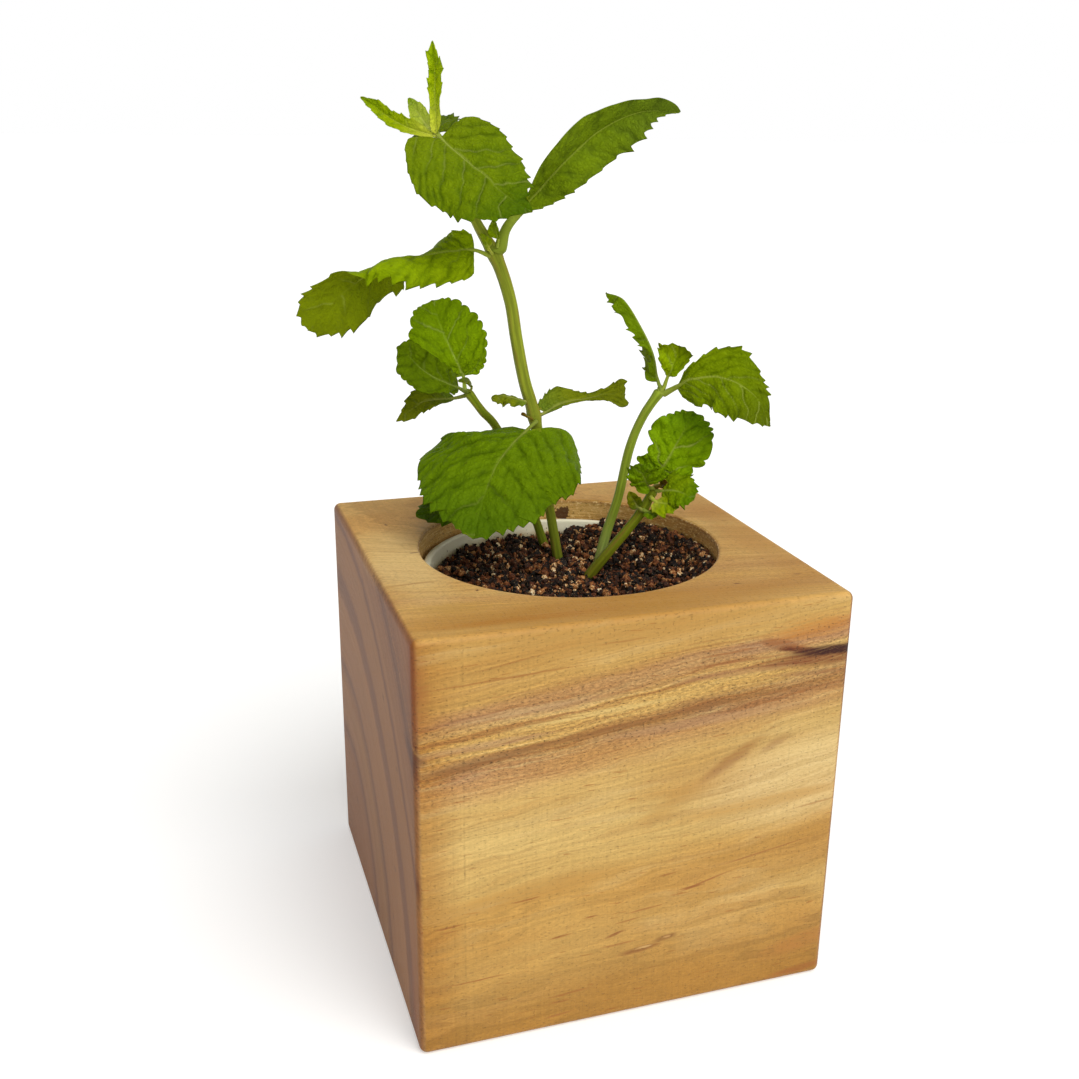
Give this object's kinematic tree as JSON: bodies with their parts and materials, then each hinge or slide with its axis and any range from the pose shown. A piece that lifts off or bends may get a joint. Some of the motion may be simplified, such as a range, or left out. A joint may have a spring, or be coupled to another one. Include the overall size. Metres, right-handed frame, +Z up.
{
  "type": "potted mint plant",
  "caption": "Young mint plant with leafy shoots in potting mix, in a lined round well in a square wooden block.",
  "frame": {"origin": "middle of the wooden block's underside, which rests on the table", "axes": "+Z up, -Y out of the block's front face, +X to the right seen from the front"},
  "size_m": [0.11, 0.1, 0.2145],
  "materials": {
    "wood": "bare sanded softwood",
    "cup": "off-white matt",
    "soil": "coarse bark granules",
    "stem": "satin plant stem",
    "leaf": "satin quilted leaf",
    "young_leaf": "satin pale leaf",
    "old_leaf": "dull olive leaf"
  },
  "bodies": {
    "root": {"wood_block": "wood", "liner_cup": "cup", "potting_mix": "soil", "stem_tall": "stem", "stem_back": "stem", "stem_right": "stem", "stem_short": "stem", "leaf_tall_top_front": "young_leaf", "leaf_tall_top_back": "young_leaf", "leaf_tall_tip_upright": "young_leaf", "leaf_tall_tip_left": "young_leaf", "bud_tall_tip": "young_leaf", "leaf_tall_right": "leaf", "leaf_tall_left": "leaf", "bud_axil_left": "young_leaf", "bud_axil_right": "leaf", "leaf_low_front": "leaf", "leaf_low_right": "old_leaf", "leaf_low_left": "old_leaf", "bract_low": "old_leaf", "leaf_back_round": "leaf", "leaf_back_left": "leaf", "leaf_back_droop": "old_leaf", "bud_back": "young_leaf", "leaf_back_low": "leaf", "leaf_right_narrow": "leaf", "leaf_right_small": "leaf", "leaf_right_big": "leaf", "leaf_short_upper": "leaf", "leaf_short_left": "leaf", "leaf_short_right": "young_leaf", "leaf_short_yellow": "young_leaf", "leaf_short_low_left": "old_leaf", "leaf_short_low_right": "leaf", "bud_short": "old_leaf"}
  },
  "joints": []
}
